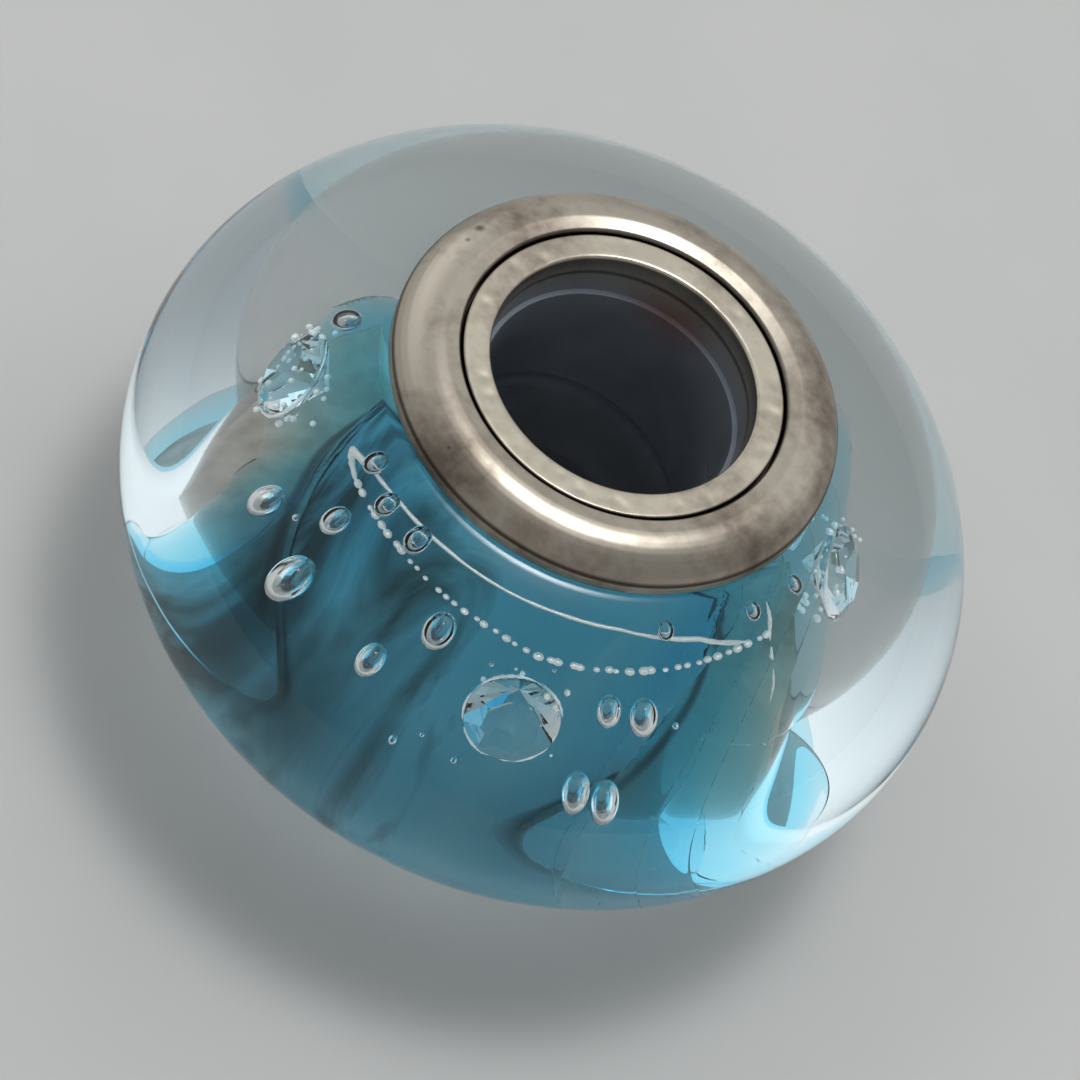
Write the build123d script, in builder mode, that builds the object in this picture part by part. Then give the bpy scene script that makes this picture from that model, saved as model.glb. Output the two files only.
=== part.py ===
from build123d import *
from math import acos, cos, degrees, radians, sin, sqrt, tan
import os

# European charm bead of cased lampwork glass on a silver core, in millimetres.
# +Z runs up the bore. The origin is on the axis where the bead rests, at the crest of the bottom ring.

# Driving dimensions of the glass
glass_diameter = 14.0  # clear casing, at its waist
glass_height = 6.72  # between the two ends, which are ground flat

# Driving dimensions of the teal core, which wraps the front of the tube and leaves the back clear
colour_share = 0.3467  # how far the core reaches from the tube towards the waist of the glass
colour_end_share = 0.6584  # how far it reaches from the tube towards the edge of the ground end of the glass
colour_bluntness = 1.395  # height of the rounding at each end as a share of its depth
colour_start = -101.0  # azimuth of its left end at mid height, from -Y towards +X
colour_finish = 118.0  # azimuth of its right end at mid height
colour_lean = 17.0  # both ends lean towards rising azimuth by this angle

# Driving dimensions of the silver tube
bore_diameter = 4.12  # crests of the thread
tube_wall = 0.44
mouth_step = 0.12  # from the bore out to the mouth, which tapers from the top of each lip to its ledge
ledge_step = 0.08  # from the bore out to the foot of that taper
mouth_depth = 0.84
lip_overhang = 0.13  # from the outside of the tube out to the edge of each lip
lip_thickness = 0.30
lip_rise = 0.61  # top of the lip above the ground end of the glass
lip_rounding = 0.07
thread_pitch = 1.9
thread_turns = 2.0
thread_groove_width = 0.3
thread_groove_depth = 0.12

# Driving dimensions of the end rings
ring_diameter = 7.34
ring_inset = 0.045  # from the edge of the ground end of the glass to the edge of the ring
ring_height = 0.69  # crest of the dome above the ground end
ring_edge_height = 0.20  # where the dome meets the outer edge
ring_crest_width = 0.25  # from the seam out to the crest
ring_land_width = 0.06  # narrow flat inside the crest, beside the seam
seam_width = 0.05  # dark seam between a ring and the lip of the tube

# Gap left between pieces that are fused or pressed together on the real bead
joint_gap = 0.02

# Driving dimensions of the round brilliant stones
stone_azimuths = (-79.0, 15.0, 103.0)  # from -Y towards +X
stone_diameter = 1.35
stone_height = 0.10  # centre of each girdle above mid height
stone_tilt = 15.0  # each table leans up from level
girdle_height = 0.05
crown_angle = 34.0
star_angle = 21.0
pavilion_angle = 40.0
table_share = 0.58  # width of the table as a share of the stone
star_share = 0.97  # where the star facets cut the corners of the table
facet_count = 8

# Bubbles blown into the casing just outside the teal core. Azimuth runs from -Y towards +X in degrees,
# height is a share of half the glass height, depth is where the bubble's centre lies as a share of the way
# from the teal out to the surface of the glass, and width is a share of bubble_diameter.
bubble_diameter = 0.46
bubble_columns = ("azimuth", "height", "depth", "width")
bubble_table = [
    (-51, 0.01, 0.126, 0.95),
    (-39, 0.88, 0.340, 0.80),
    (-35, 0.02, 0.170, 1.30),
    (-36, 0.46, 0.146, 0.90),
    (-30, 0.83, 0.288, 0.80),
    (-20, 0.84, 0.314, 0.90),
    (-6, 0.51, 0.189, 1.10),
    (-14, 0.03, 0.120, 0.90),
    (31, 0.33, 0.118, 0.85),
    (38, 0.31, 0.135, 1.00),
    (31, -0.21, 0.124, 0.90),
    (37, -0.26, 0.127, 0.90),
    (-76, 0.84, 0.314, 0.90),
    (38, 0.88, 0.261, 0.60),
    (60, 0.88, 0.261, 0.60),
    (73, 0.88, 0.261, 0.60),
]

# Sizes that follow from the driving dimensions
mid = ring_height + glass_height / 2
glass_radius = glass_diameter / 2
half_glass = glass_height / 2
ring_radius = ring_diameter / 2
glass_end_radius = ring_radius + ring_inset
end_angle = degrees(acos(glass_end_radius / glass_radius))
pole = half_glass / sin(radians(end_angle))
bore_radius = bore_diameter / 2
tube_radius = bore_radius + tube_wall
glass_bore_radius = tube_radius + joint_gap
colour_radius = tube_radius + (glass_radius - tube_radius) * colour_share
colour_end_radius = tube_radius + (glass_end_radius - tube_radius) * colour_end_share
mouth_radius = bore_radius + mouth_step
ledge_radius = bore_radius + ledge_step
lip_radius = tube_radius + lip_overhang
lip_top = half_glass + lip_rise
ring_seat = half_glass + joint_gap
ring_crest = half_glass + ring_height
ring_inner_radius = lip_radius + seam_width
crest_radius = ring_inner_radius + ring_crest_width
edge_top = ring_seat + ring_edge_height
dome_run = ring_radius - crest_radius
dome_rise = ring_crest - edge_top
dome_radius = (dome_run**2 + dome_rise**2) / (2 * dome_rise)
shoulder = lip_top - lip_thickness - joint_gap
stone_radius = stone_diameter / 2
half_girdle = girdle_height / 2
table_radius = stone_radius * table_share
crown_height = half_girdle + (stone_radius - table_radius) * tan(radians(crown_angle))
culet_depth = half_girdle + stone_radius * tan(radians(pavilion_angle))
facet_step = 360 / facet_count
table_reach = table_radius / cos(radians(facet_step / 2))
scallop = stone_radius * (1 - cos(radians(facet_step / 2)))
pocket_radius = stone_radius + joint_gap
pocket_foot = half_girdle + scallop * tan(radians(pavilion_angle)) + joint_gap
pocket_top = half_girdle + scallop * tan(radians(crown_angle)) + joint_gap
thread_height = thread_pitch * thread_turns
outline = Plane((0, 0, mid), x_dir=(1, 0, 0), z_dir=(0, -1, 0))
colour_drop = colour_radius - colour_end_radius
colour_rounding = colour_drop * colour_bluntness
colour_straight = half_glass - colour_rounding
rounding_radius = (colour_rounding**2 + colour_drop**2) / (2 * colour_drop)
rounding_centre = colour_radius - rounding_radius


def colour_radius_at(height):
    """Radius of the teal core at a height above mid height: straight, then a circular arc to each end."""
    rise = max(0, abs(height) - colour_straight)
    return rounding_centre + sqrt(rounding_radius**2 - rise**2)


def glass_radius_at(height):
    """Radius of the clear casing at a height above mid height, on its ellipse."""
    return glass_radius * sqrt(1 - (height / pole) ** 2)


def outward_plane(azimuth, height, radius, tilt):
    """A plane on the glass whose normal points away from the axis and leans up by tilt."""
    turn = radians(azimuth)
    outward = Vector(sin(turn), -cos(turn), 0)
    along = Vector(cos(turn), sin(turn), 0)
    normal = outward * cos(radians(tilt)) + Vector(0, 0, sin(radians(tilt)))
    return Plane(outward * radius + Vector(0, 0, mid + height), x_dir=along, z_dir=normal)


stone_planes = [
    outward_plane(azimuth, stone_height, colour_radius_at(stone_height), stone_tilt)
    for azimuth in stone_azimuths
]


def colour_end_normal(azimuth):
    """Normal, towards rising azimuth, of an end face of the core that passes through the axis and leans."""
    turn = radians(azimuth)
    along = Vector(cos(turn), sin(turn), 0)
    return along * cos(radians(colour_lean)) - Vector(0, 0, sin(radians(colour_lean)))


def clear_back(clearance):
    """The sector behind the two ends of the core, moved away from both of them by a clearance."""
    centre = Vector(0, 0, mid)
    start_normal = colour_end_normal(colour_start)
    finish_normal = colour_end_normal(colour_finish)
    with BuildPart() as sector:
        with BuildSketch(Plane.XY):
            Circle(glass_radius)
        extrude(amount=2 * mid)
        split(bisect_by=Plane(centre - start_normal * clearance, z_dir=start_normal), keep=Keep.BOTTOM)
        split(bisect_by=Plane(centre + finish_normal * clearance, z_dir=finish_normal), keep=Keep.TOP)
    return sector.part


def colour_form(clearance):
    """Solid of revolution of the core over its full height, grown all round by a clearance."""
    growth = 1 + clearance / rounding_radius
    inner = glass_bore_radius - clearance
    outer = colour_radius + clearance
    edge = rounding_centre + (colour_end_radius - rounding_centre) * growth
    top = colour_straight + colour_rounding * growth
    with BuildPart() as form:
        with BuildSketch(outline):
            with BuildLine():
                Polyline((outer, colour_straight), (outer, 0), (inner, 0), (inner, top), (edge, top))
                RadiusArc((edge, top), (outer, colour_straight), rounding_radius * growth)
            make_face()
            mirror(about=Plane.XZ)
        revolve(axis=Axis.Z)
    return form.part


def facet_plane(turn, tilt, radius, height):
    """Plane of a facet that passes through a point at the given turn, radius and height, tilted from level."""
    toward = Vector(cos(radians(turn)), sin(radians(turn)), 0)
    normal = toward * sin(radians(tilt)) + Vector(0, 0, cos(radians(tilt)))
    return Plane(toward * radius + Vector(0, 0, height), z_dir=normal)


# Round brilliant, made once at the origin with its table up: a short cylinder with its facets cut off it
with BuildPart() as brilliant:
    with BuildSketch(Plane.XY.offset(-culet_depth)):
        Circle(stone_radius)
    extrude(amount=culet_depth + crown_height)
    for number in range(facet_count):
        turn = number * facet_step
        crown_main = facet_plane(turn, crown_angle, stone_radius, half_girdle)
        split(bisect_by=crown_main, keep=Keep.BOTTOM)
        star = facet_plane(turn + facet_step / 2, star_angle, star_share * table_reach, crown_height)
        split(bisect_by=star, keep=Keep.BOTTOM)
        pavilion_main = facet_plane(turn, 180 - pavilion_angle, stone_radius, -half_girdle)
        split(bisect_by=pavilion_main, keep=Keep.BOTTOM)

# Pocket that a stone leaves in the glass: its round envelope, grown by the joint gap
with BuildPart() as pocket:
    with BuildSketch(Plane.XZ):
        with BuildLine():
            Polyline(
                (0, -culet_depth - 2 * joint_gap),
                (pocket_radius, -pocket_foot),
                (pocket_radius, pocket_top),
                (table_reach + joint_gap, crown_height + joint_gap),
                (0, crown_height + joint_gap),
                close=True,
            )
        make_face()
    revolve(axis=Axis.Z)

# Teal core: coloured glass wound on the front of the silver tube
with BuildPart() as colour_core:
    add(colour_form(0))
    add(clear_back(0), mode=Mode.SUBTRACT)
    for plane in stone_planes:
        with Locations(plane.location):
            add(pocket.part, mode=Mode.SUBTRACT)

# Room that the core takes up in the clear glass, larger than it by the joint gap
with BuildPart() as core_seat:
    add(colour_form(joint_gap))
    add(clear_back(joint_gap), mode=Mode.SUBTRACT)

# Clear casing: an oblate gather of glass round the core and tube, with its ends ground flat
with BuildPart() as glass_casing:
    with BuildSketch(outline):
        with BuildLine():
            Line((glass_bore_radius, 0), (glass_radius, 0))
            EllipticalCenterArc((0, 0), glass_radius, pole, start_angle=0, arc_size=end_angle)
            Polyline((glass_end_radius, half_glass), (glass_bore_radius, half_glass), (glass_bore_radius, 0))
        make_face()
    revolve(axis=Axis.Z)
    mirror(about=Plane.XY.offset(mid))
    add(core_seat.part, mode=Mode.SUBTRACT)
    for plane in stone_planes:
        with Locations(plane.location):
            add(pocket.part, mode=Mode.SUBTRACT)
    for row in bubble_table:
        bubble = dict(zip(bubble_columns, row))
        radius = bubble["width"] * bubble_diameter / 2
        height = bubble["height"] * half_glass
        core = colour_radius_at(height)
        reach = core + (glass_radius_at(height) - core) * bubble["depth"]
        with Locations(outward_plane(bubble["azimuth"], height, reach, 0).location):
            Sphere(radius, mode=Mode.SUBTRACT)

# Silver core tube: drawn tube with both lips spread over the shoulders of the end rings
with BuildPart() as core_tube:
    with BuildSketch(outline):
        with BuildLine():
            Polyline(
                (bore_radius, 0),
                (tube_radius, 0),
                (tube_radius, shoulder + joint_gap),
                (lip_radius, shoulder + joint_gap),
                (lip_radius, lip_top - lip_rounding),
            )
            RadiusArc((lip_radius, lip_top - lip_rounding), (lip_radius - lip_rounding, lip_top), -lip_rounding)
            Line((lip_radius - lip_rounding, lip_top), (mouth_radius + lip_rounding, lip_top))
            RadiusArc(
                (mouth_radius + lip_rounding, lip_top), (mouth_radius, lip_top - lip_rounding), -lip_rounding
            )
            Polyline(
                (mouth_radius, lip_top - lip_rounding),
                (ledge_radius, lip_top - mouth_depth),
                (bore_radius, lip_top - mouth_depth),
                (bore_radius, 0),
            )
        make_face()
        mirror(about=Plane.XZ)
    revolve(axis=Axis.Z)
    # The thread is one helical groove cut outward from the bore, centred on mid height
    with BuildLine():
        thread = Helix(thread_pitch, thread_height, bore_radius, center=(0, 0, mid - thread_height / 2))
    with BuildSketch(Plane(thread @ 0, x_dir=(1, 0, 0), z_dir=thread % 0)):
        Rectangle(2 * thread_groove_depth, thread_groove_width)
    sweep(path=thread, is_frenet=True, mode=Mode.SUBTRACT)

# End rings: domed silver washers on the ground ends of the glass, stepped inside for the lip of the tube
with BuildPart() as end_ring_top:
    with BuildSketch(outline):
        with BuildLine():
            Polyline(
                (crest_radius, ring_crest),
                (ring_inner_radius + ring_land_width, ring_crest - ring_land_width),
                (ring_inner_radius, ring_crest - 2 * ring_land_width),
                (ring_inner_radius, shoulder),
                (glass_bore_radius, shoulder),
                (glass_bore_radius, ring_seat),
                (ring_radius, ring_seat),
                (ring_radius, edge_top),
            )
            RadiusArc((ring_radius, edge_top), (crest_radius, ring_crest), -dome_radius)
        make_face()
    revolve(axis=Axis.Z)

with BuildPart() as end_ring_bottom:
    mirror(end_ring_top.part, about=Plane.XY.offset(mid))

os.makedirs("parts", exist_ok=True)
pieces = {
    "glass_casing": glass_casing,
    "colour_core": colour_core,
    "core_tube": core_tube,
    "end_ring_top": end_ring_top,
    "end_ring_bottom": end_ring_bottom,
}
for name, piece in pieces.items():
    piece.part.label = name
    export_step(piece.part, f"parts/{name}.step")

# Cut stones, each a copy of the brilliant, seated in its pocket between the core and the casing
for number, plane in enumerate(stone_planes, start=1):
    with BuildPart() as stone:
        with Locations(plane.location):
            add(brilliant.part)
    stone.part.label = f"stone_{number}"
    export_step(stone.part, f"parts/stone_{number}.step")
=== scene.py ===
"""European charm bead: clear lampwork glass over a teal core, on a threaded silver tube with end rings."""

import bpy
import numpy as np
from mathutils import Matrix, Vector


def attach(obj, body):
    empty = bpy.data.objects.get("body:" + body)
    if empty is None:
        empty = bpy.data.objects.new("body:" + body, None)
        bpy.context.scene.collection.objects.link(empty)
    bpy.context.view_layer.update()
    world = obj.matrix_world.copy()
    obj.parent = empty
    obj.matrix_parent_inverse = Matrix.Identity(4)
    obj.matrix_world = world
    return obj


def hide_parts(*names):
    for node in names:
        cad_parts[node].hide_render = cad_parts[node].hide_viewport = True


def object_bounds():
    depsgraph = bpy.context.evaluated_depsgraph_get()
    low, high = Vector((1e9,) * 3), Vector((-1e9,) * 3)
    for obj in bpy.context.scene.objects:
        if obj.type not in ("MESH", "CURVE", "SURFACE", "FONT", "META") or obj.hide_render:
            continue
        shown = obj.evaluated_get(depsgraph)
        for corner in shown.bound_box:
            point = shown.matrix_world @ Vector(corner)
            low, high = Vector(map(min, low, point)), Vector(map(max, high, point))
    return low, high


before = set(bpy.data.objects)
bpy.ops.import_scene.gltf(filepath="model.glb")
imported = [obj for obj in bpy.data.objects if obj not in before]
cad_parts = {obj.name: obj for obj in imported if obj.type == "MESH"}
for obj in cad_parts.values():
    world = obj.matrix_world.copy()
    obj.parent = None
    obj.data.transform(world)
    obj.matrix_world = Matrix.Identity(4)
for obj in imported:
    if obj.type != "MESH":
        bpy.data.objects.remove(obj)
cad_low, cad_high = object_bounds()

# Core tube. A drawn silver tube that carries the glass, with a right-hand thread cut in its bore and its
# lips spread over the end rings to hold them. The bore is blackened with tarnish, the lips are worn bright.
# Lengths are in millimetres, heights are measured from the middle of the bead, angles run from -Y to +X.
middle = 500 * (cad_low.z + cad_high.z)
tube_radius = 2.50
bore_radius = 2.06
bore_ledge = 3.13
ledge_radius = 2.14
mouth_radius = 2.18
lip_radius = 2.63
lip_top = 3.97
lip_foot = 3.67
thread_pitch = 1.9
thread_reach = 1.9
thread_depth = 0.08
thread_width = 0.30
tube_step = 0.055
silver_columns = 256
dent_count = 64
dent_seed = 11
crowded_side = (-125, -15)
other_side = (-15, 235)
seam_dirt = (2.655, 0.07)
scratch_dirt = (3.595, 0.06)
# Painted reflection in the mouth of the bore: a brownish-pink spot, given as x, y and height.
painted_reflection_spot = (0.20, 2.15, 3.45)


def rounded_outline(corners, step):
    """Closed outline through corners (radius, height, cut): each corner is cut back by its cut along both
    sides and bridged by a parabola of six spans, and the straight runs between are sampled about a step
    apart."""
    corners = np.array(corners, float)
    places = corners[:, :2]
    after = np.roll(places, -1, axis=0) - places
    run = np.linalg.norm(after, axis=1, keepdims=True)
    after = after / run
    before = -np.roll(after, 1, axis=0)
    cut = corners[:, 2:]
    entry = places + before * cut
    leave = places + after * cut
    share = np.linspace(0, 1, 7)[:, None]
    points = []
    for number in range(len(corners)):
        bend = (1 - share) ** 2 * entry[number] + 2 * share * (1 - share) * places[number]
        points.append(bend + share**2 * leave[number])
        ahead = entry[(number + 1) % len(corners)]
        spans = max(1, int(round(np.linalg.norm(ahead - leave[number]) / step)))
        along = np.arange(1, spans)[:, None] / spans
        points.append(leave[number] * (1 - along) + ahead * along)
    return np.concatenate(points)


def spun(outline, columns):
    """Radius, angle and height grids of an outline turned about the axis: rows follow the outline and
    columns the angle t, so that a point of the outline at radius r goes to (r sin t, -r cos t)."""
    angle = np.linspace(0, 2 * np.pi, columns, endpoint=False)
    radius, angle = np.meshgrid(outline[:, 0], angle, indexing="ij")
    height = np.repeat(outline[:, 1:2], columns, axis=1)
    return radius, angle, height


def band_faces(rows, columns):
    """Four-sided faces of a grid that closes on itself both ways: each joins a point, the next in its row,
    and the two above them. They face outwards where the outline climbs."""
    index = np.arange(rows * columns).reshape(rows, columns)
    above = np.roll(index, -1, axis=0)
    corners = [index, np.roll(index, -1, axis=1), np.roll(above, -1, axis=1), above]
    return np.stack(corners, axis=-1).reshape(-1, 4)


def placed(radius, angle, height):
    """Points x = r sin t, y = -r cos t, z = h from grids of radius, angle and height, one row a point."""
    return np.stack([radius * np.sin(angle), -radius * np.cos(angle), height], axis=-1).reshape(-1, 3)


def make_piece(name, points, faces, material, node):
    """One smooth mesh object from points in millimetres and arrays of faces, which replaces the CAD node that
    is named, if any."""
    mesh = bpy.data.meshes.new(name)
    metres = (points + (0, 0, middle)) / 1000
    mesh.from_pydata(metres.tolist(), [], [face for block in faces for face in block.tolist()])
    mesh.shade_smooth()
    mesh.materials.append(material)
    piece = bpy.data.objects.new(name, mesh)
    bpy.context.scene.collection.objects.link(piece)
    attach(piece, "root")
    if node:
        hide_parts(node)


def srgb(code):
    """Linear colour with full alpha from an sRGB hex code."""
    parts = np.array([int(code[place : place + 2], 16) for place in (1, 3, 5)]) / 255
    linear = np.where(parts <= 0.04045, parts / 12.92, ((parts + 0.055) / 1.055) ** 2.4)
    return (*linear.tolist(), 1.0)


def add_node(material, kind, inputs, stops=None, **settings):
    """A node in the material, with its settings, its inputs as values or sockets, and a ramp's stops."""
    made = material.node_tree.nodes.new(kind)
    for name, value in settings.items():
        setattr(made, name, value)
    for name, value in inputs.items():
        if isinstance(value, bpy.types.NodeSocket):
            material.node_tree.links.new(value, made.inputs[name])
        else:
            made.inputs[name].default_value = value
    if stops:
        elements = made.color_ramp.elements
        elements[-1].position, elements[-1].color = stops[-1]
        elements[0].position, elements[0].color = stops[0]
        for place, colour in stops[1:-1]:
            elements.new(place).color = colour
    return made


def tarnished_silver(name, bright, dull, dark, pits, blackened=False):
    """Sterling silver, polished when new and dulled by handling: stains about 2 mm wide over a grain of
    0.2 mm give it a warm, uneven shine. Brown dirt stays in the seam beside the lip, in the scratch under
    each dome and in the pits, given as azimuth, distance from the axis, height and width. A blackened piece
    is dark inside its mouth, with a painted reflection there as a brownish-pink spot, and is matt and
    streaked where the glass is bonded to it, with painted shade that makes it darker towards -X and paler
    towards +X, and streaks 1.5 mm wide drawn out up the bore."""
    material = bpy.data.materials.new(name)
    material.use_nodes = True
    shader = material.node_tree.nodes["Principled BSDF"]
    link = material.node_tree.links.new
    place = add_node(material, "ShaderNodeTexCoord", {}).outputs["Object"]
    stain = add_node(material, "ShaderNodeTexNoise", {"Vector": place, "Scale": 450, "Detail": 3})
    grain = add_node(material, "ShaderNodeTexNoise", {"Vector": place, "Scale": 5000, "Detail": 4})
    tone = add_node(
        material,
        "ShaderNodeMath",
        {0: grain.outputs["Fac"], 1: 0.30, 2: stain.outputs["Fac"]},
        operation="MULTIPLY_ADD",
    )
    metal = add_node(
        material,
        "ShaderNodeValToRGB",
        {"Fac": tone.outputs[0]},
        stops=[(0.48, dark), (0.60, dull), (0.74, bright)],
    )
    split = add_node(material, "ShaderNodeSeparateXYZ", {"Vector": place})
    flat = add_node(material, "ShaderNodeCombineXYZ", {"X": split.outputs["X"], "Y": split.outputs["Y"]})
    reach = add_node(material, "ShaderNodeVectorMath", {0: flat.outputs[0]}, operation="LENGTH")
    rise = add_node(
        material, "ShaderNodeMath", {0: split.outputs["Z"], 1: middle / 1000}, operation="SUBTRACT"
    )
    level = add_node(material, "ShaderNodeMath", {0: rise.outputs[0]}, operation="ABSOLUTE")
    dirt = []
    for value, (where, width) in ((reach.outputs["Value"], seam_dirt), (level.outputs[0], scratch_dirt)):
        away = add_node(material, "ShaderNodeMath", {0: value, 1: where / 1000}, operation="SUBTRACT")
        gap = add_node(material, "ShaderNodeMath", {0: away.outputs[0]}, operation="ABSOLUTE")
        dirt.append((gap.outputs[0], width / 1000))
    for azimuth, away, top, width in pits:
        turn = np.radians(azimuth)
        pit = np.array([away * np.sin(turn), -away * np.cos(turn), middle + top]) / 1000
        gap = add_node(material, "ShaderNodeVectorMath", {0: place, 1: pit.tolist()}, operation="DISTANCE")
        dirt.append((gap.outputs["Value"], width / 1000))
    colour = metal.outputs["Color"]
    for gap, width in dirt:
        held = add_node(
            material,
            "ShaderNodeMapRange",
            {"Value": gap, "From Min": width * 0.3, "From Max": width, "To Min": 0.85, "To Max": 0.0},
        )
        mixed = add_node(
            material,
            "ShaderNodeMix",
            {0: held.outputs[0], 6: colour, 7: srgb("#33271f")},
            data_type="RGBA",
        )
        colour = mixed.outputs[2]
    shader.inputs["Metallic"].default_value = 1.0
    rough = add_node(
        material,
        "ShaderNodeMapRange",
        {"Value": tone.outputs[0], "From Min": 0.5, "From Max": 0.8, "To Min": 0.41, "To Max": 0.29},
    ).outputs[0]
    if blackened:
        depth = add_node(
            material,
            "ShaderNodeMapRange",
            {
                "Value": reach.outputs["Value"],
                "From Min": ledge_radius / 1000,
                "From Max": mouth_radius / 1000,
                "To Min": 1.0,
                "To Max": 0.0,
            },
        )
        black = add_node(
            material,
            "ShaderNodeValToRGB",
            {"Fac": stain.outputs["Fac"]},
            stops=[(0.35, srgb("#6c727b")), (0.66, srgb("#858c95"))],
        )
        # Painted reflection: a brownish-pink spot mixed into the bore colour on its far wall.
        spot = (np.array(painted_reflection_spot) + (0, 0, middle)) / 1000
        patch = add_node(
            material, "ShaderNodeVectorMath", {0: place, 1: spot.tolist()}, operation="DISTANCE"
        )
        painted_reflection_mask = add_node(
            material,
            "ShaderNodeMapRange",
            {
                "Value": patch.outputs["Value"],
                "From Min": 0.0002,
                "From Max": 0.0010,
                "To Min": 0.8,
                "To Max": 0.0,
            },
        )
        mixed = add_node(
            material,
            "ShaderNodeMix",
            {0: painted_reflection_mask.outputs[0], 6: black.outputs["Color"], 7: srgb("#7d5247")},
            data_type="RGBA",
        )
        mixed = add_node(
            material,
            "ShaderNodeMix",
            {0: depth.outputs[0], 6: colour, 7: mixed.outputs[2]},
            data_type="RGBA",
        )
        colour = mixed.outputs[2]
        outside = add_node(
            material,
            "ShaderNodeMapRange",
            {
                "Value": reach.outputs["Value"],
                "From Min": (tube_radius - 0.06) / 1000,
                "From Max": (tube_radius - 0.02) / 1000,
            },
        )
        under = add_node(
            material,
            "ShaderNodeMapRange",
            {
                "Value": level.outputs[0],
                "From Min": 0.00338,
                "From Max": 0.00345,
                "To Min": 1.0,
                "To Max": 0.0,
            },
        )
        bonded = add_node(
            material, "ShaderNodeMath", {0: outside.outputs[0], 1: under.outputs[0]}, operation="MULTIPLY"
        )
        drawn = add_node(
            material, "ShaderNodeVectorMath", {0: place, 1: (1.0, 1.0, 0.35)}, operation="MULTIPLY"
        )
        streak = add_node(
            material,
            "ShaderNodeTexNoise",
            {"Vector": drawn.outputs[0], "Scale": 700, "Detail": 4, "Distortion": 1.2},
        )
        # Painted shade and light on the bonded wall: the X term makes it darker towards -X and paler towards
        # +X, and the noise adds the streaks.
        painted_shade_and_streak = add_node(
            material,
            "ShaderNodeMath",
            {0: split.outputs["X"], 1: 60.0, 2: streak.outputs["Fac"]},
            operation="MULTIPLY_ADD",
        )
        bond_colour_with_painted_shade = add_node(
            material,
            "ShaderNodeValToRGB",
            {"Fac": painted_shade_and_streak.outputs[0]},
            stops=[(0.25, srgb("#665e57")), (0.37, srgb("#c0c2be")), (0.49, srgb("#fbfcfa"))],
        )
        mixed = add_node(
            material,
            "ShaderNodeMix",
            {0: bonded.outputs[0], 6: colour, 7: bond_colour_with_painted_shade.outputs["Color"]},
            data_type="RGBA",
        )
        colour = mixed.outputs[2]
        covered = add_node(
            material, "ShaderNodeMath", {0: depth.outputs[0], 1: bonded.outputs[0]}, operation="MAXIMUM"
        )
        bare = add_node(
            material,
            "ShaderNodeMapRange",
            {"Value": covered.outputs[0], "To Min": 1.0, "To Max": 0.15},
        )
        link(bare.outputs[0], shader.inputs["Metallic"])
        matt_zone = add_node(
            material,
            "ShaderNodeMix",
            {0: covered.outputs[0], 2: rough, 3: 0.55},
            data_type="FLOAT",
        )
        rough = matt_zone.outputs[0]
    link(colour, shader.inputs["Base Color"])
    link(rough, shader.inputs["Roughness"])
    wear = add_node(
        material,
        "ShaderNodeBump",
        {"Height": tone.outputs[0], "Strength": 0.20, "Distance": 0.00001},
    )
    link(wear.outputs["Normal"], shader.inputs["Normal"])
    return material


tube_half = [
    (ledge_radius, bore_ledge, 0.02),
    (mouth_radius, lip_top, 0.07),
    (lip_radius, lip_top, 0.045),
    (lip_radius, lip_foot, 0.01),
    (tube_radius, lip_foot, 0.01),
]
tube_corners = [(bore_radius, -bore_ledge, 0.02)]
tube_corners += [(radius, -height, cut) for radius, height, cut in tube_half]
tube_corners += [(radius, height, cut) for radius, height, cut in reversed(tube_half)]
tube_corners += [(bore_radius, bore_ledge, 0.02)]
tube_outline = rounded_outline(tube_corners, tube_step)
radius, angle, height = spun(tube_outline, silver_columns)
climb = (height + thread_reach - thread_pitch * (angle / (2 * np.pi) - 0.25)) % thread_pitch
groove = np.clip(1 - (2 * np.minimum(climb, thread_pitch - climb) / thread_width) ** 2, 0, 1)
in_thread = (radius < bore_radius + 0.001) & (np.abs(height) < thread_reach)
radius = radius + np.where(in_thread, thread_depth * groove, 0)
random = np.random.default_rng(dent_seed)
for number in range(dent_count):
    azimuth = random.uniform(*(crowded_side if number < dent_count / 2 else other_side))
    place = random.uniform(2.28, 2.54)
    wide, deep = random.uniform(0.06, 0.13), random.uniform(-0.006, 0.014)
    away = ((angle - np.radians(azimuth) + np.pi) % (2 * np.pi) - np.pi) * radius
    dent = np.exp(-((away / wide) ** 2) - ((radius - place) / wide) ** 2)
    height = height - deep * dent * (height > lip_top - 0.1)
tube_silver = tarnished_silver(
    "worn_silver_tube_with_painted_light", srgb("#c9c0ae"), srgb("#ada393"), srgb("#887d70"), [], blackened=True
)
make_piece(
    "threaded_tube",
    placed(radius, angle, height),
    [band_faces(*radius.shape)],
    tube_silver,
    "core_tube",
)

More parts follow.
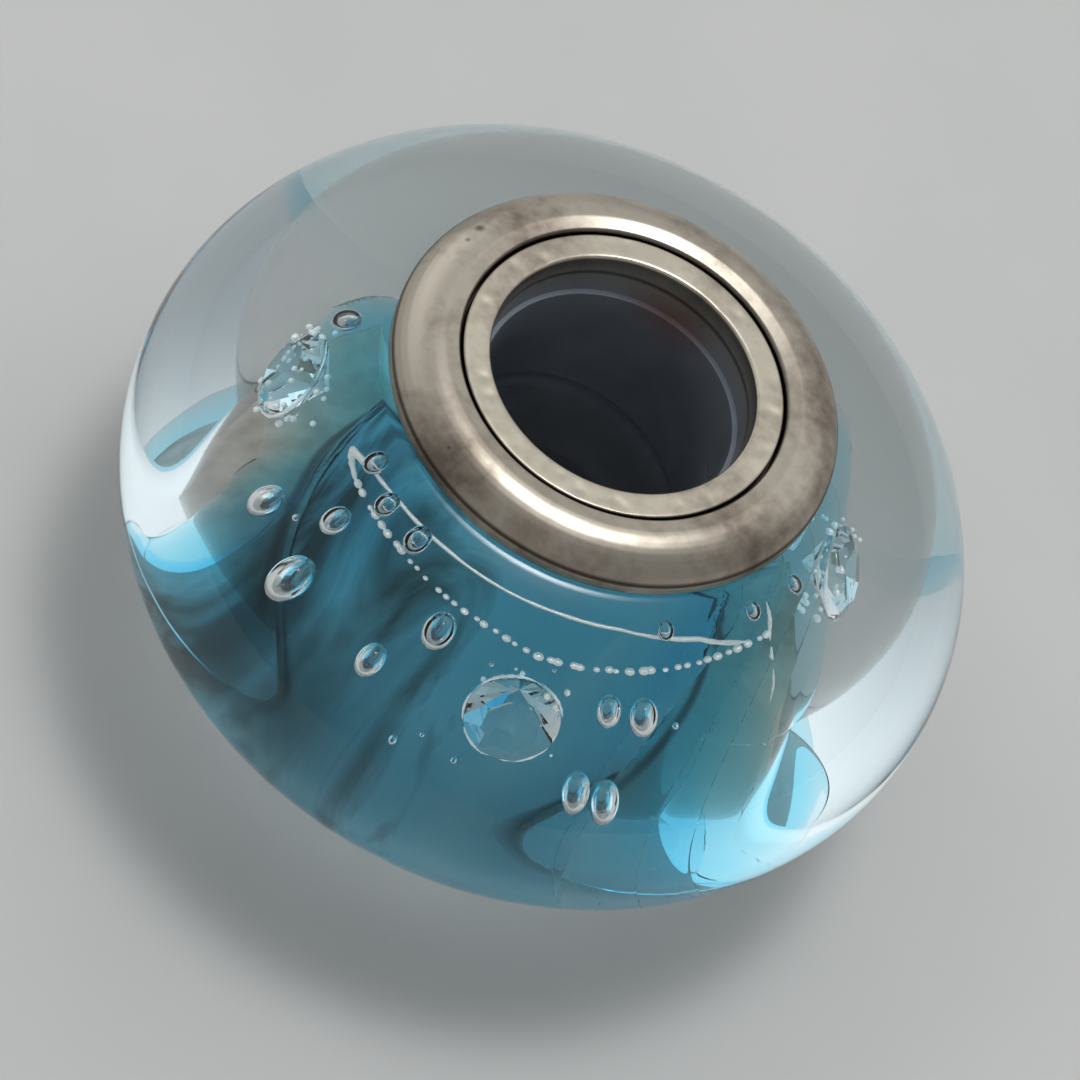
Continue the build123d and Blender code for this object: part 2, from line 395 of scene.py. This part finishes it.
# End rings. Domed washers turned from silver, one on each ground end of the glass. A scratch of tarnish runs
# round under each dome, above a narrow upright rim, and the domes are mottled and pitted.
ring_radius = 3.67
ring_seat = 3.38
ring_inner = 2.67
ring_edge = 3.58
ring_crest = 4.05
crest_radius = 2.93
ring_step = 0.05
shoulder_radius = 2.52
shoulder_height = 3.65
dome_run = ring_radius - crest_radius
dome_rise = ring_crest - ring_edge
dome_radius = (dome_run**2 + dome_rise**2) / (2 * dome_rise)
across = np.linspace(0, 1, 9)
dome_place = ring_radius - across * dome_run
dome = np.sqrt(dome_radius**2 - (dome_place - crest_radius) ** 2) + ring_crest - dome_radius
ring_corners = [
    (ring_inner, ring_crest - 0.09, 0.02),
    (ring_inner, shoulder_height, 0.01),
    (shoulder_radius, shoulder_height, 0.01),
    (shoulder_radius, ring_seat, 0.01),
    (ring_radius, ring_seat, 0.03),
    (ring_radius, ring_edge - 0.03, 0.02),
    (ring_radius - 0.02, ring_edge, 0.01),
    *[(place, top, 0.03) for place, top in zip(dome_place, dome)],
    (ring_inner + 0.04, ring_crest - 0.045, 0.02),
]
ring_outline = rounded_outline(ring_corners, ring_step)
pits = [(-109, 3.27, 3.93, 0.11), (-103, 3.24, 3.95, 0.07), (-31, 3.40, 3.87, 0.05)]
ring_silver = tarnished_silver(
    "worn_silver_ring", srgb("#b9afa0"), srgb("#9f9486"), srgb("#7e7266"), pits
)
for side, node in ((1, "end_ring_top"), (-1, "end_ring_bottom")):
    outline = ring_outline * (1, side)
    radius, angle, height = spun(outline[::side], silver_columns)
    make_piece(
        f"domed_{node}",
        placed(radius, angle, height),
        [band_faces(*radius.shape)],
        ring_silver,
        node,
    )

# Teal core. Coloured glass wound on the front of the tube, with folds where it was laid thinner. Its two ends
# lean, and taper into a film of the same glass that runs on round the back under the clear glass.
colour_radius = 4.06
colour_end_radius = 3.30
colour_straight = 2.30
half_glass = 3.36
colour_start = np.radians(-101.0)
colour_finish = np.radians(118.0)
colour_lean = np.radians(4.5)
colour_notch = np.radians(30.0)
notch_top = 0.3
notch_drop = 2.6
taper = np.radians(5.0)
film_radius = 2.60
core_columns = 256
side_points = 91
end_points = 7
bore_points = 41
core_top = half_glass - 0.02
core_bore = tube_radius - 0.02
colour_drop = colour_radius - colour_end_radius
rounding = half_glass - colour_straight
rounding_radius = (rounding**2 + colour_drop**2) / (2 * colour_drop)


def colour_radius_at(height):
    """Radius of the teal core: straight about its middle, then a circular arc down to each end."""
    rise = np.maximum(0, np.abs(height) - colour_straight)
    return colour_radius - rounding_radius + np.sqrt(rounding_radius**2 - rise**2)


def smooth_step(share):
    """Eases a share from 0 to 1: 3 s^2 - 2 s^3 of the share held between 0 and 1."""
    held = np.clip(share, 0, 1)
    return held**2 * (3 - 2 * held)


core_heights = np.linspace(-core_top, core_top, side_points)
core_outer = np.stack([colour_radius_at(core_heights), core_heights], axis=1)
core_end = np.linspace(colour_radius_at(core_top), core_bore, end_points + 2)[1:-1]
core_inner = np.linspace(core_top, -core_top, bore_points)
core_outline = np.concatenate(
    [
        core_outer,
        np.stack([core_end, np.full(end_points, core_top)], axis=1),
        np.stack([np.full(bore_points, core_bore), core_inner], axis=1),
        np.stack([core_end[::-1], np.full(end_points, -core_top)], axis=1),
    ]
)
radius, angle, height = spun(core_outline, core_columns)
centre = (colour_start + colour_finish) / 2
spread = (colour_finish - colour_start) / 2
turn = (angle - centre - colour_lean * height + np.pi) % (2 * np.pi) - np.pi
notch = colour_notch * smooth_step((notch_top - height) / notch_drop)
turn = np.abs(turn) + np.where(turn < 0, notch, 0)
wrapped = smooth_step((spread + taper - turn) / (2 * taper))
fold_places = [
    (-66, 9, 0.30),
    (-22, 7, 0.20),
    (24, 6, 0.30),
    (52, 4, 0.50),
    (66, 3, 0.75),
    (80, 5, 0.45),
    (97, 5, 0.60),
]
for azimuth, width, share in fold_places:
    away = (angle - np.radians(azimuth) - colour_lean * height + np.pi) % (2 * np.pi) - np.pi
    wrapped = wrapped * (1 - share * np.exp(-((away / np.radians(width)) ** 2)))
radius = np.where(radius > film_radius, film_radius + (radius - film_radius) * wrapped, radius)

# Soda glass tinted teal all through: its depth of colour comes from its thickness. It is wound under glass of
# its own index, so that its surface hardly bends light.
teal_glass = bpy.data.materials.new("teal_lampwork_glass")
teal_glass.use_nodes = True
shader = teal_glass.node_tree.nodes["Principled BSDF"]
shader.inputs["Base Color"].default_value = (1, 1, 1, 1)
shader.inputs["Transmission Weight"].default_value = 1.0
shader.inputs["Roughness"].default_value = 0.0
shader.inputs["IOR"].default_value = 1.004
teal = (0.06, 0.78, 0.94, 1)
tint = add_node(teal_glass, "ShaderNodeVolumeAbsorption", {"Color": teal, "Density": 480})
ending = teal_glass.node_tree.nodes["Material Output"]
teal_glass.node_tree.links.new(tint.outputs[0], ending.inputs["Volume"])
make_piece(
    "teal_wrap",
    placed(radius, angle, height),
    [band_faces(*radius.shape)],
    teal_glass,
    "colour_core",
)

# Clear casing. An oblate gather of clear lampwork glass over core and tube, fire polished, with its ends
# ground flat. Bubbles were trapped round the teal core, and finer ones along a seam where two layers met.
glass_radius = 7.0
glass_pole = 3.965
bore_wall = tube_radius - 0.01
glass_columns = 480
glass_rows = 121
bubble_radius = 0.23
bubble_lean = np.radians(45)
bubble_shape = (0.95, 1.22, 0.90)
# azimuth, height as a share of half the glass, depth as a share of the way out from the teal, size
bubble_rows = [
    (-51, 0.01, 0.126, 0.95),
    (-39, 0.88, 0.340, 0.80),
    (-35, 0.02, 0.170, 1.30),
    (-36, 0.46, 0.146, 0.90),
    (-30, 0.83, 0.288, 0.80),
    (-20, 0.84, 0.314, 0.90),
    (-6, 0.51, 0.189, 1.10),
    (-14, 0.03, 0.120, 0.90),
    (31, 0.33, 0.118, 0.85),
    (38, 0.31, 0.135, 1.00),
    (31, -0.21, 0.124, 0.90),
    (37, -0.26, 0.127, 0.90),
    (-76, 0.84, 0.314, 0.90),
    (38, 0.88, 0.261, 0.60),
    (60, 0.88, 0.261, 0.60),
    (73, 0.88, 0.261, 0.60),
]
# azimuth, height, distance from the axis, radius
seed_rows = [
    (-44.3, 0.41, 4.30, 0.055),
    (-3.1, -1.07, 4.20, 0.060),
    (1.1, -0.76, 4.20, 0.035),
    (8.5, -0.91, 4.20, 0.045),
    (6.1, 1.24, 4.20, 0.040),
    (17.9, 1.64, 4.20, 0.035),
    (47.7, 0.31, 4.20, 0.050),
]


def unit_ball(rows, columns):
    """Points and faces of a ball of radius 1 with its poles closed by fans, turned inwards as a void."""
    slope = np.linspace(0, np.pi, rows + 1)[1:-1]
    turn = np.linspace(0, 2 * np.pi, columns, endpoint=False)
    slope, turn = np.meshgrid(slope, turn, indexing="ij")
    shell = np.stack([np.sin(slope) * np.cos(turn), np.sin(slope) * np.sin(turn), np.cos(slope)], axis=-1)
    points = np.concatenate([shell.reshape(-1, 3), [(0, 0, 1), (0, 0, -1)]])
    index = np.arange((rows - 1) * columns).reshape(rows - 1, columns)
    beside = np.roll(index, -1, axis=1)
    quads = np.stack([index[:-1], beside[:-1], beside[1:], index[1:]], axis=-1).reshape(-1, 4)
    top, bottom = len(points) - 2, len(points) - 1
    caps = [np.stack([index[0], np.full(columns, top), beside[0]], axis=-1)]
    caps.append(np.stack([index[-1], beside[-1], np.full(columns, bottom)], axis=-1))
    return points, quads, np.concatenate(caps)


def voids(ball, azimuth, height, reach, across, along, out, lean=0.0):
    """Copies of a ball, each squeezed to half axes along the circumference, up, and outwards, and set at an
    azimuth in degrees, a height and a distance from the axis. The axis that points up leans inwards by an
    angle: out r = o cos a - u sin a, up z = u cos a + o sin a."""
    points, quads, caps = ball
    turn = np.radians(azimuth)[:, None]
    width = across[:, None] * points[:, 0]
    upward = along[:, None] * points[:, 1]
    outward = out[:, None] * points[:, 2]
    rise = upward * np.cos(lean) + outward * np.sin(lean)
    depth = reach[:, None] + outward * np.cos(lean) - upward * np.sin(lean)
    x = depth * np.sin(turn) + width * np.cos(turn)
    y = -depth * np.cos(turn) + width * np.sin(turn)
    z = height[:, None] + rise
    shift = (np.arange(len(azimuth)) * len(points))[:, None, None]
    return (
        np.stack([x, y, z], axis=-1).reshape(-1, 3),
        (quads + shift).reshape(-1, 4),
        (caps + shift).reshape(-1, 3),
    )


slope = np.arcsin(half_glass / glass_pole)
climb = np.linspace(-slope, slope, glass_rows)
ground_edge = glass_radius * np.cos(slope)
casing_outline = np.concatenate(
    [
        np.stack([glass_radius * np.cos(climb), glass_pole * np.sin(climb)], axis=1),
        np.linspace((ground_edge, half_glass), (bore_wall, half_glass), 12)[1:-1],
        np.linspace((bore_wall, half_glass), (bore_wall, -half_glass), 9),
        np.linspace((bore_wall, -half_glass), (ground_edge, -half_glass), 12)[1:-1],
    ]
)
radius, angle, height = spun(casing_outline, glass_columns)
glass_points = [placed(radius, angle, height)]
glass_faces = [band_faces(*radius.shape)]

bubbles = np.array(bubble_rows)
size = bubbles[:, 3] * bubble_radius
level = bubbles[:, 1] * half_glass
core = colour_radius_at(level)
surface = glass_radius * np.sqrt(1 - (level / glass_pole) ** 2)
reach = core + (surface - core) * bubbles[:, 2]
across, along, out = (size * share for share in bubble_shape)
groups = [voids(unit_ball(20, 32), bubbles[:, 0], level, reach, across, along, out, bubble_lean)]

azimuth, level, reach, size = np.array(seed_rows).T
groups.append(voids(unit_ball(6, 8), azimuth, level, reach, size, size, size))

for points, quads, caps in groups:
    base = sum(len(block) for block in glass_points)
    glass_points.append(points)
    glass_faces += [quads + base, caps + base]

# Clear soda glass, fire polished, with a faint waver of 3 mm striae in its surface and a trace of green.
clear_glass = bpy.data.materials.new("clear_lampwork_glass")
clear_glass.use_nodes = True
shader = clear_glass.node_tree.nodes["Principled BSDF"]
shader.inputs["Base Color"].default_value = (1, 1, 1, 1)
shader.inputs["Transmission Weight"].default_value = 1.0
shader.inputs["Roughness"].default_value = 0.0
shader.inputs["IOR"].default_value = 1.5
place = add_node(clear_glass, "ShaderNodeTexCoord", {}).outputs["Object"]
striae = add_node(clear_glass, "ShaderNodeTexNoise", {"Vector": place, "Scale": 350, "Detail": 2})
waver = add_node(
    clear_glass,
    "ShaderNodeBump",
    {"Height": striae.outputs["Fac"], "Strength": 0.1, "Distance": 0.0001},
)
clear_glass.node_tree.links.new(waver.outputs["Normal"], shader.inputs["Normal"])
trace = (0.55, 0.86, 0.91, 1)
cast = add_node(clear_glass, "ShaderNodeVolumeAbsorption", {"Color": trace, "Density": 24})
ending = clear_glass.node_tree.nodes["Material Output"]
clear_glass.node_tree.links.new(cast.outputs[0], ending.inputs["Volume"])
make_piece(
    "clear_casing",
    np.concatenate(glass_points),
    glass_faces,
    clear_glass,
    "glass_casing",
)

# Trapped air. Where two layers of glass met, a smooth thread of air runs along the front, a row of tiny beads
# of air below it, and a few strings down the right. Air also clings round the stones at the two sides. All of
# it is too fine to see into, so it shows as white.
air_gap = 0.06
air_seed = 7
# azimuth, height, half width
smooth_seam = [
    (-40, 2.10, 0.030),
    (-44, 2.22, 0.050),
    (-46, 2.40, 0.070),
    (-43, 2.51, 0.055),
    (-39, 2.65, 0.040),
    (-30, 2.76, 0.030),
    (-14, 2.82, 0.032),
    (0, 2.83, 0.024),
    (14, 2.84, 0.030),
    (28, 2.81, 0.026),
    (47, 2.59, 0.042),
    (60, 2.06, 0.050),
]
# azimuth, height
beaded_seam = [
    (-40, 2.12),
    (-34, 2.12),
    (-28, 2.08),
    (-23, 2.11),
    (-14, 2.02),
    (-5, 1.98),
    (4, 1.91),
    (14, 1.75),
    (27, 1.78),
    (40, 1.83),
    (49, 1.90),
    (59, 1.96),
    (67, 1.91),
    (69, 1.21),
]
bead_step = 2.5
bead_shape = (1.35, 0.85, 1.0)
thread_sides = 10
arc_points = 25
stone_height = 0.10
stone_tilt = np.radians(15.0)
stone_rim = 0.695
# azimuth of the stone, count of fine bubbles, and arcs of air round its rim: start, finish, half width
stone_air = [
    (-79, 52, [(-60, 40, 0.03), (60, 120, 0.02)]),
    (15, 7, [(20, 70, 0.022), (80, 150, 0.03), (165, 205, 0.02), (215, 262, 0.03), (275, 335, 0.026)]),
    (103, 26, [(100, 190, 0.03), (215, 300, 0.025)]),
]
# azimuth, height, half width
strings = [
    [(65, 2.84, 0.02), (66, 2.3, 0.035), (68, 1.58, 0.02)],
    [(69, 1.35, 0.015), (70, 1.0, 0.03), (71, 0.80, 0.012)],
    [(72, 0.5, 0.012), (73.5, 0.0, 0.022), (74, -0.52, 0.012)],
]


def seam_spine(rows):
    """Points and half widths along rows of azimuth, height and half width, just outside the teal core. Four
    points are put between two rows, and the two ends taper."""
    rows = np.array(rows, float)
    place = np.linspace(0, len(rows) - 1, 5 * (len(rows) - 1) + 1)
    azimuth, level, width = (np.interp(place, np.arange(len(rows)), rows[:, column]) for column in range(3))
    turn = np.radians(azimuth)
    reach = colour_radius_at(level) + air_gap
    spine = np.stack([reach * np.sin(turn), -reach * np.cos(turn), level], axis=1)
    return spine, width * np.clip(np.minimum(place, place[::-1]) * 3 + 0.2, 0, 1)


def air_thread(spine, width):
    """A closed thread about a spine, of a half width at each point. Its rings of points are across x cos a +
    out x sin a, where out is away from the axis."""
    ahead = np.gradient(spine, axis=0)
    ahead = ahead / np.linalg.norm(ahead, axis=1, keepdims=True)
    across = np.cross(ahead, spine * (1, 1, 0))
    across = across / np.linalg.norm(across, axis=1, keepdims=True)
    outward = np.cross(across, ahead)
    step = np.linspace(0, 2 * np.pi, thread_sides, endpoint=False)
    ring = across[:, None] * np.cos(step)[:, None] + outward[:, None] * np.sin(step)[:, None]
    points = (spine[:, None] + ring * width[:, None, None]).reshape(-1, 3)
    index = np.arange(len(points)).reshape(-1, thread_sides)
    beside = np.roll(index, -1, axis=1)
    quads = np.stack([index[:-1], beside[:-1], beside[1:], index[1:]], axis=-1).reshape(-1, 4)
    first, last = len(points), len(points) + 1
    caps = [np.stack([np.full(thread_sides, first), beside[0], index[0]], axis=-1)]
    caps.append(np.stack([np.full(thread_sides, last), index[-1], beside[-1]], axis=-1))
    return np.concatenate([points, spine[:1], spine[-1:]]), quads, np.concatenate(caps)


random = np.random.default_rng(air_seed)
air = []
for rows in [smooth_seam, *strings]:
    spine, width = seam_spine(rows)
    air.append(air_thread(spine, width * random.uniform(0.75, 1.2, len(width))))
bead_places = np.arange(-39, 68.5, bead_step)
bead_places = bead_places + random.uniform(-0.7, 0.7, len(bead_places))
path = np.array(beaded_seam)
level = np.interp(bead_places, path[:, 0], path[:, 1]) + random.normal(0, 0.012, len(bead_places))
size = random.uniform(0.034, 0.066, len(bead_places))
reach = colour_radius_at(level) + air_gap
across, along, out = (size * share for share in bead_shape)
air.append(voids(unit_ball(8, 10), bead_places, level, reach, across, along, out))
for azimuth, count, arcs in stone_air:
    turn = np.radians(azimuth)
    out = np.array([np.sin(turn), -np.cos(turn), 0])
    beside = np.array([np.cos(turn), np.sin(turn), 0])
    upward = np.array([0, 0, np.cos(stone_tilt)]) - out * np.sin(stone_tilt)
    for start, finish, width in arcs:
        place = np.linspace(np.radians(start), np.radians(finish), arc_points)
        ring = beside * np.cos(place)[:, None] + upward * np.sin(place)[:, None]
        spine = out * colour_radius + (0, 0, stone_height) + stone_rim * ring
        thinned = np.sqrt(np.clip(1 - np.linspace(-1, 1, arc_points) ** 2, 0.05, 1))
        air.append(air_thread(spine, width * thinned * random.uniform(0.6, 1.2, arc_points)))
    turn = random.uniform(0, 2 * np.pi, count)
    spread_out = stone_rim * random.uniform(0.94, 1.16, count)
    level = stone_height + spread_out * np.sin(turn)
    reach = colour_radius_at(level) + random.uniform(-0.40, 0.25, count)
    side = azimuth + np.degrees(spread_out * np.cos(turn) / (colour_radius + 0.14))
    size = random.uniform(0.02, 0.06, count)
    air.append(voids(unit_ball(7, 9), side, level, reach, size, size, size))
air_points, air_faces = [], []
for points, quads, caps in air:
    base = sum(len(block) for block in air_points)
    air_points.append(points)
    air_faces += [quads[:, ::-1] + base, caps[:, ::-1] + base]
# Froth of air in glass: white, and softly bright from a painted glow, a faint emission that stands in
# for light scattered all through it.
air_with_painted_glow = bpy.data.materials.new("fine_trapped_air_painted_glow")
air_with_painted_glow.use_nodes = True
shader = air_with_painted_glow.node_tree.nodes["Principled BSDF"]
shader.inputs["Roughness"].default_value = 0.35
shader.inputs["Metallic"].default_value = 0.5
# Painted glow: the air gives off a little light of its own, though it is no lamp.
shader.inputs["Emission Color"].default_value = (0.9, 1.0, 1.0, 1)
shader.inputs["Emission Strength"].default_value = 0.18
place = add_node(air_with_painted_glow, "ShaderNodeTexCoord", {}).outputs["Object"]
froth = add_node(air_with_painted_glow, "ShaderNodeTexNoise", {"Vector": place, "Scale": 9000, "Detail": 2})
white = add_node(
    air_with_painted_glow,
    "ShaderNodeValToRGB",
    {"Fac": froth.outputs["Fac"]},
    stops=[(0.35, srgb("#dfeef0")), (0.60, srgb("#fefffe"))],
)
air_with_painted_glow.node_tree.links.new(white.outputs["Color"], shader.inputs["Base Color"])
make_piece(
    "trapped_air",
    np.concatenate(air_points),
    air_faces,
    air_with_painted_glow,
    None,
)

# Cut stones. Round brilliants of cubic zirconia, pushed into the teal while it was soft and cased over, so
# that their facets work against glass: 2.17 over 1.50 is 1.45, and 1.39 shows them as softly as they look.
zirconia = bpy.data.materials.new("cased_zirconia")
zirconia.use_nodes = True
shader = zirconia.node_tree.nodes["Principled BSDF"]
shader.inputs["Base Color"].default_value = (1, 1, 1, 1)
shader.inputs["Transmission Weight"].default_value = 1.0
shader.inputs["Roughness"].default_value = 0.0
shader.inputs["IOR"].default_value = 1.39
for number in (1, 2, 3):
    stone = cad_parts[f"stone_{number}"]
    stone.material_slots[0].material = zirconia

# Floor. A plain pale matt board, which the bead rests on.
board = bpy.data.meshes.new("board")
half_width = 0.6
board_corners = [(half_width * x, half_width * y, 0) for x, y in ((-1, -1), (1, -1), (1, 1), (-1, 1))]
board.from_pydata(board_corners, [], [(0, 1, 2, 3)])
floor = bpy.data.objects.new("board", board)
bpy.context.scene.collection.objects.link(floor)
# Matt coated board, with a faint mottle 8 mm wide that keeps it from looking dead flat.
matt = bpy.data.materials.new("matt_board")
matt.use_nodes = True
shader = matt.node_tree.nodes["Principled BSDF"]
shader.inputs["Roughness"].default_value = 0.8
place = add_node(matt, "ShaderNodeTexCoord", {}).outputs["Object"]
fibre = add_node(matt, "ShaderNodeTexNoise", {"Vector": place, "Scale": 120, "Detail": 4})
pale = add_node(
    matt,
    "ShaderNodeValToRGB",
    {"Fac": fibre.outputs["Fac"]},
    stops=[(0.3, srgb("#cbcac6")), (0.7, srgb("#d2d0cc"))],
)
matt.node_tree.links.new(pale.outputs["Color"], shader.inputs["Base Color"])
board.materials.append(matt)

# Camera. A long lens looks down at the bead, rolled as the photograph is.
distance = 100.0
pixels_per_mm = 62.33
frame_width = 1080
bead_place = (546.6, 508.6)
elevation = np.radians(52.37)
roll = np.radians(30.16)
focal = pixels_per_mm * distance
aim = np.array([(place - frame_width / 2) / focal for place in bead_place] + [1.0])
aim = aim / np.linalg.norm(aim)
back = np.array([0, -np.cos(elevation), np.sin(elevation)])
right = np.array([1.0, 0, 0])
up = np.cross(right, -back)
level_view = np.array([right, -up, -back])
turned = np.array([[np.cos(roll), -np.sin(roll), 0], [np.sin(roll), np.cos(roll), 0], [0, 0, 1]])
rolled = turned @ level_view
axis = np.cross((0, 0, 1), aim)
sine = np.linalg.norm(axis)
axis = axis / sine
skew = np.array([[0, -axis[2], axis[1]], [axis[2], 0, -axis[0]], [-axis[1], axis[0], 0]])
view = (np.eye(3) + sine * skew + (1 - aim[2]) * skew @ skew) @ rolled
lens = bpy.data.cameras.new("long_lens")
lens.sensor_width = 36
lens.lens = focal / frame_width * 36
lens.clip_start = 0.005
camera = bpy.data.objects.new("long_lens", lens)
bpy.context.scene.collection.objects.link(camera)
pose = np.eye(4)
pose[:3, 0] = view[0]
pose[:3, 1] = -view[1]
pose[:3, 2] = -view[2]
pose[:3, 3] = (back * distance + (0, 0, middle)) / 1000
camera.matrix_world = Matrix(pose.tolist())
bpy.context.scene.camera = camera

# Room light. A pale room with one bright patch high above the bead, where a skylight is, broad glows low on
# the far left, the left and the right, and fainter ones at the back and from the viewer's side. Each glow is
# the dot product of the view with its direction, raised to its narrowness, times its power.
room = bpy.data.worlds.new("pale_room")
bpy.context.scene.world = room
room.use_nodes = True
look = add_node(room, "ShaderNodeTexCoord", {}).outputs["Generated"]
strength = 0.31
glows = [
    ((0.03, 0.17, 0.985), 100, 17.5),
    ((-0.66, 0.68, 0.32), 10, 0.8),
    ((-0.86, 0.10, 0.50), 10, 0.5),
    ((0.0, -0.85, 0.53), 5, 0.12),
    ((0.0, 0.75, 0.66), 6, 0.3),
    ((0.62, 0.60, 0.51), 12, 0.6),
]
for toward, narrowness, power in glows:
    facing = add_node(room, "ShaderNodeVectorMath", {0: look, 1: toward}, operation="DOT_PRODUCT")
    held = add_node(room, "ShaderNodeMath", {0: facing.outputs["Value"], 1: 0.0}, operation="MAXIMUM")
    peak = add_node(room, "ShaderNodeMath", {0: held.outputs[0], 1: narrowness}, operation="POWER")
    total = add_node(
        room, "ShaderNodeMath", {0: peak.outputs[0], 1: power, 2: strength}, operation="MULTIPLY_ADD"
    )
    strength = total.outputs[0]
sky = room.node_tree.nodes["Background"]
sky.inputs["Color"].default_value = (0.97, 1.0, 1.03, 1)
room.node_tree.links.new(strength, sky.inputs["Strength"])
cycles = bpy.context.scene.cycles
cycles.max_bounces = 24
cycles.transmission_bounces = 24
bpy.context.scene.view_settings.view_transform = "Standard"
